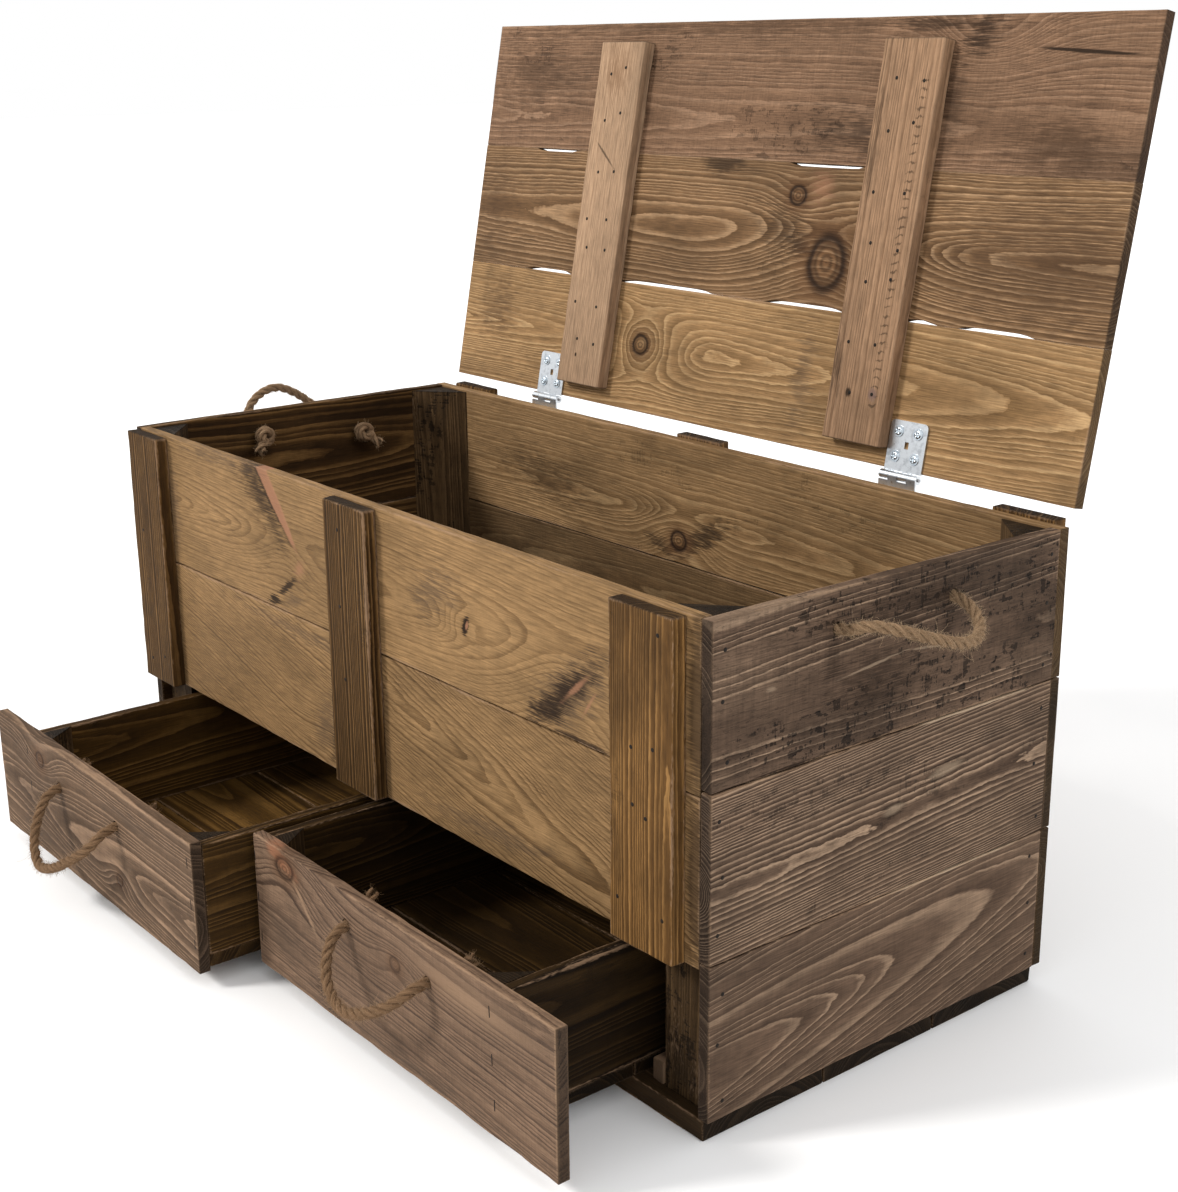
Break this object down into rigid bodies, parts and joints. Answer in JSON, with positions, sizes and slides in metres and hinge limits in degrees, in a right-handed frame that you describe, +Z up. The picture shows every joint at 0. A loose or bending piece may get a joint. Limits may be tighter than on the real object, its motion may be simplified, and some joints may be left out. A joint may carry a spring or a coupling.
{
  "type": "mule chest",
  "caption": "Rustic stained-pine chest with a lift-up battened lid over side-by-side drawers, with knotted jute rope handles.",
  "frame": {"origin": "middle of the underside of the base, on the floor", "axes": "+X along the chest to its right end seen from the front, +Y from the front to the back, +Z up"},
  "size_m": [1.1016, 0.7958, 0.9055],
  "materials": {
    "carcass_pine": "brown-stained rough-sawn pine",
    "front_pine": "brown-stained rough-sawn pine, lighter",
    "end_pine": "brown-stained rough-sawn pine, greyer",
    "batten_pine": "brown-stained pine battens with straight grain",
    "lid_pine": "brown-stained pine boards with knots",
    "drawer_front_pine": "brown-stained pine with cathedral grain",
    "drawer_box_pine": "brown-stained rough pine, darker inside",
    "jute_rope": "three-strand jute, hairy",
    "hinge_steel": "bright zinc-plated sheet",
    "screw_steel": "bright zinc-plated screws and pins"
  },
  "bodies": {
    "root": {"back_batten_centre": "batten_pine", "back_batten_left": "batten_pine", "back_batten_right": "batten_pine", "back_board_bottom": "carcass_pine", "back_board_middle": "carcass_pine", "back_board_top": "carcass_pine", "base_board_front": "carcass_pine", "base_board_middle": "carcass_pine", "base_board_rear": "carcass_pine", "corner_post_back_left": "carcass_pine", "corner_post_back_right": "carcass_pine", "corner_post_front_left": "carcass_pine", "corner_post_front_right": "carcass_pine", "drawer_guide_left": "carcass_pine", "drawer_guide_right": "carcass_pine", "floor_boards": "carcass_pine", "floor_cleats": "carcass_pine", "front_batten_centre": "batten_pine", "front_batten_left": "batten_pine", "front_batten_right": "batten_pine", "front_board_lower": "front_pine", "front_board_upper": "front_pine", "hinge_pins": "screw_steel", "hinge_wall_leaf_left": "hinge_steel", "hinge_wall_leaf_right": "hinge_steel", "hinge_wall_screws": "screw_steel", "left_side_board_bottom": "end_pine", "left_side_board_middle": "end_pine", "left_side_board_top": "end_pine", "right_side_board_bottom": "end_pine", "right_side_board_middle": "end_pine", "right_side_board_top": "end_pine", "rope_handle_left_end": "jute_rope", "rope_handle_right_end": "jute_rope", "rope_knots_left_end": "jute_rope", "rope_knots_right_end": "jute_rope"},
    "lid": {"hinge_lid_leaf_left": "hinge_steel", "hinge_lid_leaf_right": "hinge_steel", "hinge_lid_screws": "screw_steel", "lid_batten_left": "batten_pine", "lid_batten_right": "batten_pine", "lid_board_front": "lid_pine", "lid_board_middle": "lid_pine", "lid_board_rear": "lid_pine"},
    "left_drawer": {"left_drawer_back": "drawer_box_pine", "left_drawer_bottom": "drawer_box_pine", "left_drawer_corner_blocks": "drawer_box_pine", "left_drawer_front": "drawer_front_pine", "left_drawer_inner_side": "drawer_box_pine", "left_drawer_outer_side": "drawer_box_pine", "left_drawer_rope_handle": "jute_rope", "left_drawer_rope_knots": "jute_rope"},
    "right_drawer": {"right_drawer_back": "drawer_box_pine", "right_drawer_bottom": "drawer_box_pine", "right_drawer_corner_blocks": "drawer_box_pine", "right_drawer_front": "drawer_front_pine", "right_drawer_inner_side": "drawer_box_pine", "right_drawer_outer_side": "drawer_box_pine", "right_drawer_rope_handle": "jute_rope", "right_drawer_rope_knots": "jute_rope"}
  },
  "joints": [
    {"name": "lid_hinge", "type": "hinge", "parent": "root", "child": "lid", "pos_m": [0, 0.223, 0.4685], "axis": [-1, 0, 0], "range_deg": [-102.6, 0]},
    {"name": "left_drawer_slide", "type": "slide", "parent": "root", "child": "left_drawer", "axis": [0, -1, 0], "range_m": [-0.1907, 0.109]},
    {"name": "right_drawer_slide", "type": "slide", "parent": "root", "child": "right_drawer", "axis": [0, -1, 0], "range_m": [-0.1312, 0.1685]}
  ]
}
